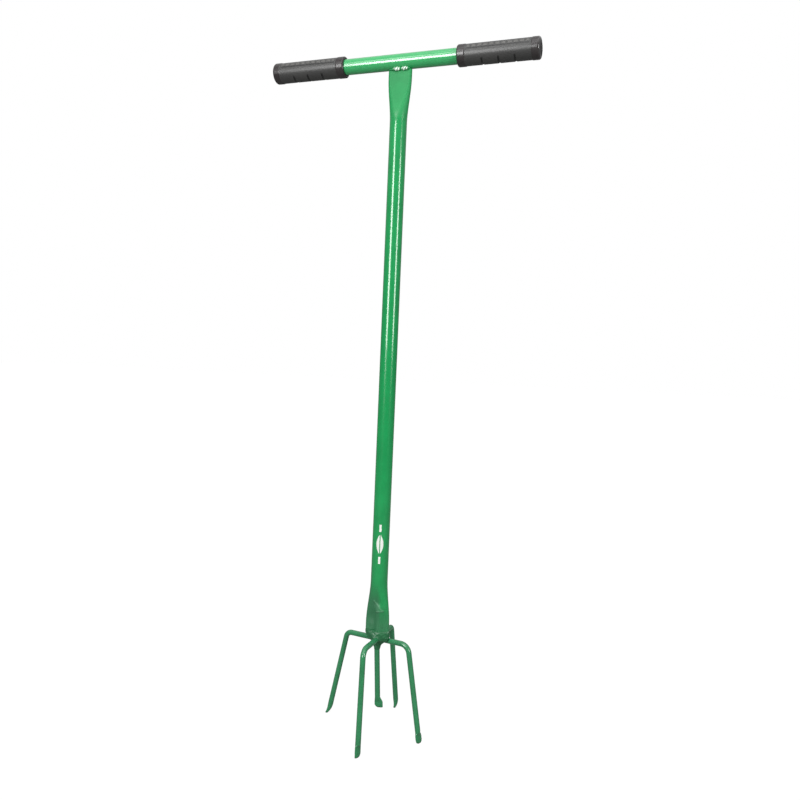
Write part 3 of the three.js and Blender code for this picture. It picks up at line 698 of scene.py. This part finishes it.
# Each lump's place along the bead, half width and rise.
LUMPS = ((-3.9, 4.8, 1.5), (8.2, 4.8, 1.5))
WELD_GREEN = (0.020, 0.30, 0.090, 1.0)
WELD_THICK = (0.016, 0.24, 0.072, 1.0)
BARE_WELD = (0.86, 0.90, 0.86, 1.0)


def bead(name, side):
    """A round section carried across the tube. Its radius is a base, plus a cosine along it for
    the ripples, plus half of the lumps, and the lumps push it outwards too. Each lump is the
    exponential of minus the fourth power of the way from its middle. The radius closes to the
    ends as the root of one less the sixth power. The flaked and glinting mask is high on the
    lumps' outer sides, in bars that lean: there the bare weld metal is painted near white as a
    painted highlight."""
    x = np.linspace(-BEAD_HALF, BEAD_HALF, 150)[:, None]
    turn = np.linspace(0.0, 2 * np.pi, 40, endpoint=False)[None, :]
    ends = np.sqrt(np.clip(1 - (x / (BEAD_HALF + 0.05)) ** 6, 0.0, 1.0))
    ripple = 0.14 * np.cos(np.pi * x / 1.5 + 0.5 * side + 0.35 * np.sin(turn))
    lumps = sum(rise * np.exp(-((-side * x - at) / width) ** 4) for at, width, rise in LUMPS)
    radius = (BEAD_RADIUS + ripple + lumps * 0.5 + 0.1 * np.sin(3 * turn + x * 0.9)) * ends
    y = side * (BEAD_OUT + 0.4 * lumps + radius * np.cos(turn))
    z = BEAD_Z - 0.1 * lumps + radius * np.sin(turn)
    bars = 0.5 + 0.5 * np.cos((-side * x - 1.3 * np.sin(turn)) * 1.55)
    flaked = smooth(lumps, 0.5, 1.1) * smooth(np.cos(turn), 0.0, 0.5) * blend(0.35, 1.0, bars)
    return skin(name, np.stack([x + 0 * turn, y, z], axis=-1), flaked=flaked)


weld_finish, tree, shader = enamel_finish(
    "green_enamel_weld", WELD_GREEN, WELD_THICK, worn=False)
# The paint has flaked off the lumps and left weld metal with a ragged edge, painted near white
# there as a painted highlight.
ragged = wire(tree, "ShaderNodeTexNoise", {"Vector": wire(tree, "ShaderNodeTexCoord").outputs["Object"],
                                           "Scale": 520.0, "Detail": 3.0, "Roughness": 0.6}).outputs[0]
flaked = calc(tree, "ADD", wire(tree, "ShaderNodeAttribute", attribute_name="flaked").outputs["Fac"],
              calc(tree, "MULTIPLY", calc(tree, "SUBTRACT", ragged, 0.5), 1.3))
painted = shader.inputs["Base Color"].links[0].from_socket
tree.links.new(mix_colour(tree, ramp(tree, flaked, 0.45, 0.62), painted, BARE_WELD),
               shader.inputs["Base Color"])
for name, side, node in (("front_top_bead", -1, "top_weld_front"), ("back_top_bead", 1, "top_weld_back")):
    piece = bead(name, side)
    piece.data.materials.append(weld_finish)
    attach(piece, "root")
    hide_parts(node)


# ---------------------------------------------------------------------------
# Hub weld. The lump of weld metal that joins the mouth and all the rods. It spreads a little
# way out along each rod, and runs down to a collar on the centre tine. Its enamel is a much
# darker green, as painted shade.
# ---------------------------------------------------------------------------
HUB_TOP, HUB_DEPTH, HUB_MIDDLE_Y = MOUTH_Z + 2.4, 29.5, 2.0
HUB_SHARES = np.array([0.0, 0.06, 0.16, 0.34, 0.5, 0.62, 0.76, 0.88, 1.0])
HUB_WIDE = np.array([18.2, 18.9, 18.8, 18.0, 12.6, 7.0, 5.1, 4.7, 4.4])
HUB_DEEP = np.array([4.4, 7.6, 9.0, 10.4, 10.6, 7.4, 5.1, 4.7, 4.4])
# Where metal has run out along each rod: the way it points, how high, and how far.
RUNS = ((math.radians(168.7), 134.5, 4.5), (math.radians(-11.3), 135.0, 5.0),
        (math.radians(-90.0), 138.5, 4.5), (math.radians(90.0), 138.5, 4.0))


# Waves that make the metal lumpy: height, count round it, turn per share of depth, and start.
HUB_WAVES = ((0.5, 4, 9.0, 0.0), (0.5, 7, -21.0, 1.0), (0.26, 13, 33.0, 2.0), (0.14, 19, -47.0, 0.0))
# A much darker copy of the enamel's green: painted shade under the mouth and between the rods.
HUB_GREEN = (0.018, 0.150, 0.053, 1.0)
HUB_THICK = (0.010, 0.100, 0.036, 1.0)


def hub():
    """Rings whose half widths follow the shares above. Each grows towards a rod as a bell in
    height and in the way it points, and sine waves of different pitch make it lumpy."""
    share = np.concatenate([[0.0], np.linspace(0.004, 0.996, 96), [1.0]])[:, None]
    turn = np.linspace(0.0, 2 * np.pi, 120, endpoint=False)[None, :]
    z = HUB_TOP - share * HUB_DEPTH
    wide, deep = (np.interp(share, HUB_SHARES, sizes) for sizes in (HUB_WIDE, HUB_DEEP))
    lumps = sum(high * np.sin(count * turn + share * climb + start)
                for high, count, climb, start in HUB_WAVES)
    body = smooth(share, 0.0, 0.08) * (1 - smooth(share, 0.86, 1.0))
    out = lumps * body * 0.5
    for way, height, reach in RUNS:
        apart = abs(np.angle(np.exp(1j * (turn - way))))
        out = out + reach * np.exp(-(apart / 0.3) ** 2 - ((z - height) / 5.0) ** 2)
    shift = HUB_MIDDLE_Y * smooth(share, 0.0, 0.5) * (1 - smooth(share, 0.5, 1.0))
    lean = blend(0.4, 1.0, share)
    close = np.where((share > 0) & (share < 1), 1.0, 0.55)
    x = (wide + out) * close * np.cos(turn) + lean
    y = (deep + out) * close * np.sin(turn) + shift
    return skin("hub_weld_metal", np.stack([x, y, z + 0 * turn], axis=-1))


lump = hub()
hub_finish, _, _ = enamel_finish("green_enamel_hub", HUB_GREEN, HUB_THICK, gloss=0.42, coat=0.08,
                                 coat_gloss=0.2, relief=0.2, worn=False)
lump.data.materials.append(hub_finish)
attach(lump, "root")
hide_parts("hub_weld")


# ---------------------------------------------------------------------------
# Floor. A plain pale studio floor under the four outer tips. The camera sees it as white. All
# else sees it darker, so that it lights the tool from below only a little.
# ---------------------------------------------------------------------------
FLOOR_HALF = 30.0
FLOOR_SEEN, FLOOR_UNSEEN, FLOOR_GLOW = (0.07, 0.07, 0.07, 1.0), (0.25, 0.25, 0.25, 1.0), 0.95
floor_mesh = bpy.data.meshes.new("floor")
floor_corners = [(x * FLOOR_HALF, y * FLOOR_HALF, 0.0) for x, y in ((-1, -1), (1, -1), (1, 1), (-1, 1))]
floor_mesh.from_pydata(floor_corners, [], [(0, 1, 2, 3)])
floor = bpy.data.objects.new("floor", floor_mesh)
bpy.context.scene.collection.objects.link(floor)
floor_finish, tree, shader = surface_shader("pale_floor")
shader.inputs["Roughness"].default_value = 0.9
shader.inputs["Specular IOR Level"].default_value = 0.1
shader.inputs["Emission Color"].default_value = (1.0, 1.0, 1.0, 1.0)
seen = wire(tree, "ShaderNodeLightPath").outputs["Is Camera Ray"]
tree.links.new(ramp(tree, seen, 0.0, 1.0, 0.0, FLOOR_GLOW), shader.inputs["Emission Strength"])
tree.links.new(mix_colour(tree, seen, FLOOR_UNSEEN, FLOOR_SEEN), shader.inputs["Base Color"])
floor_mesh.materials.append(floor_finish)


# ---------------------------------------------------------------------------
# Light. A pale room, brighter towards its ceiling, and four soft boxes in front: a tall one on
# each side of the camera, whose reflections are the streaks along the shaft, and two weaker ones
# higher up, which light the crossbar and the grips from above.
# ---------------------------------------------------------------------------
ROOM_LOW, ROOM_HIGH, ROOM_TOP = 0.10, 0.85, 0.95
CAMERA_TURN = math.radians(19.11)
toward = np.array([math.sin(CAMERA_TURN), -math.cos(CAMERA_TURN)])
rightward = np.array([math.cos(CAMERA_TURN), math.sin(CAMERA_TURN)])


def soft_box(name, degrees, width, low, high, power, distance=2.0, tip=0.0):
    """A lit rectangle at that many degrees to the right of the camera. It faces the object, and
    looks down by the tip in degrees."""
    a = math.radians(degrees)
    flat = distance * (math.cos(a) * toward + math.sin(a) * rightward)
    light = bpy.data.lights.new(name, "AREA")
    light.shape = "RECTANGLE"
    light.size, light.size_y = width, high - low
    light.energy = power
    lamp = bpy.data.objects.new(name, light)
    lamp.location = (flat[0], flat[1], (low + high) / 2)
    lamp.rotation_euler = (math.pi / 2 - math.radians(tip), 0.0, math.atan2(-flat[1], -flat[0]) - math.pi / 2)
    lamp.visible_camera = False
    bpy.context.scene.collection.objects.link(lamp)


# Degrees to the right of the camera, width, lowest and highest edge in metres, and power in watts.
soft_box("left_soft_box", -35.5, 0.60, 0.63, 1.55, 29.0)
soft_box("left_high_box", -38.0, 0.75, 1.95, 2.70, 8.0)
soft_box("right_soft_box", 49.7, 0.46, 0.63, 1.42, 17.0)
soft_box("overhead_soft_box", 5.0, 1.6, 1.5, 3.1, 12.0, distance=1.0, tip=55.0)

world = bpy.data.worlds.new("pale_room")
bpy.context.scene.world = world
world.use_nodes = True
tree = world.node_tree
tree.nodes.clear()
way = wire(tree, "ShaderNodeTexCoord").outputs["Generated"]
height = wire(tree, "ShaderNodeSeparateXYZ", {0: way}).outputs[2]
room_light = ramp(tree, height, 0.0, ROOM_TOP, ROOM_LOW, ROOM_HIGH)
room = wire(tree, "ShaderNodeBackground", {"Color": (1.0, 1.0, 1.0, 1.0), "Strength": room_light})
# The camera itself sees a plain white room.
seen = wire(tree, "ShaderNodeBackground", {"Color": (1.0, 1.0, 1.0, 1.0), "Strength": 1.0})
either = wire(tree, "ShaderNodeMixShader", {0: wire(tree, "ShaderNodeLightPath").outputs["Is Camera Ray"]})
tree.links.new(room.outputs[0], either.inputs[1])
tree.links.new(seen.outputs[0], either.inputs[2])
tree.links.new(either.outputs[0], wire(tree, "ShaderNodeOutputWorld").inputs["Surface"])


# ---------------------------------------------------------------------------
# Camera. In front and to the right, at about half the tool's height, level but for a slight
# tilt, and rolled a little so that the shaft leans.
# ---------------------------------------------------------------------------
PITCH, ROLL = math.radians(2.40), math.radians(2.44)
DISTANCE, AIM_SIDE, AIM_HEIGHT = 1.08833, 0.01940, 0.49496
SENSOR, FOCAL_LENGTH = 36.0, 33.3
forward = Vector((-math.sin(CAMERA_TURN) * math.cos(PITCH), math.cos(CAMERA_TURN) * math.cos(PITCH),
                  -math.sin(PITCH)))
level = Vector((math.cos(CAMERA_TURN), math.sin(CAMERA_TURN), 0.0))
upright = level.cross(forward)
image_right = math.cos(ROLL) * level + math.sin(ROLL) * upright
image_up = -math.sin(ROLL) * level + math.cos(ROLL) * upright
lens = bpy.data.cameras.new("camera")
lens.sensor_width = SENSOR
lens.lens = FOCAL_LENGTH
camera = bpy.data.objects.new("camera", lens)
turned = Matrix((image_right, image_up, -forward)).transposed().to_4x4()
turned.translation = AIM_SIDE * level + Vector((0.0, 0.0, AIM_HEIGHT)) - DISTANCE * forward
camera.matrix_world = turned
bpy.context.scene.collection.objects.link(camera)
bpy.context.scene.camera = camera
bpy.context.scene.view_settings.view_transform = "Standard"

bpy.context.view_layer.update()
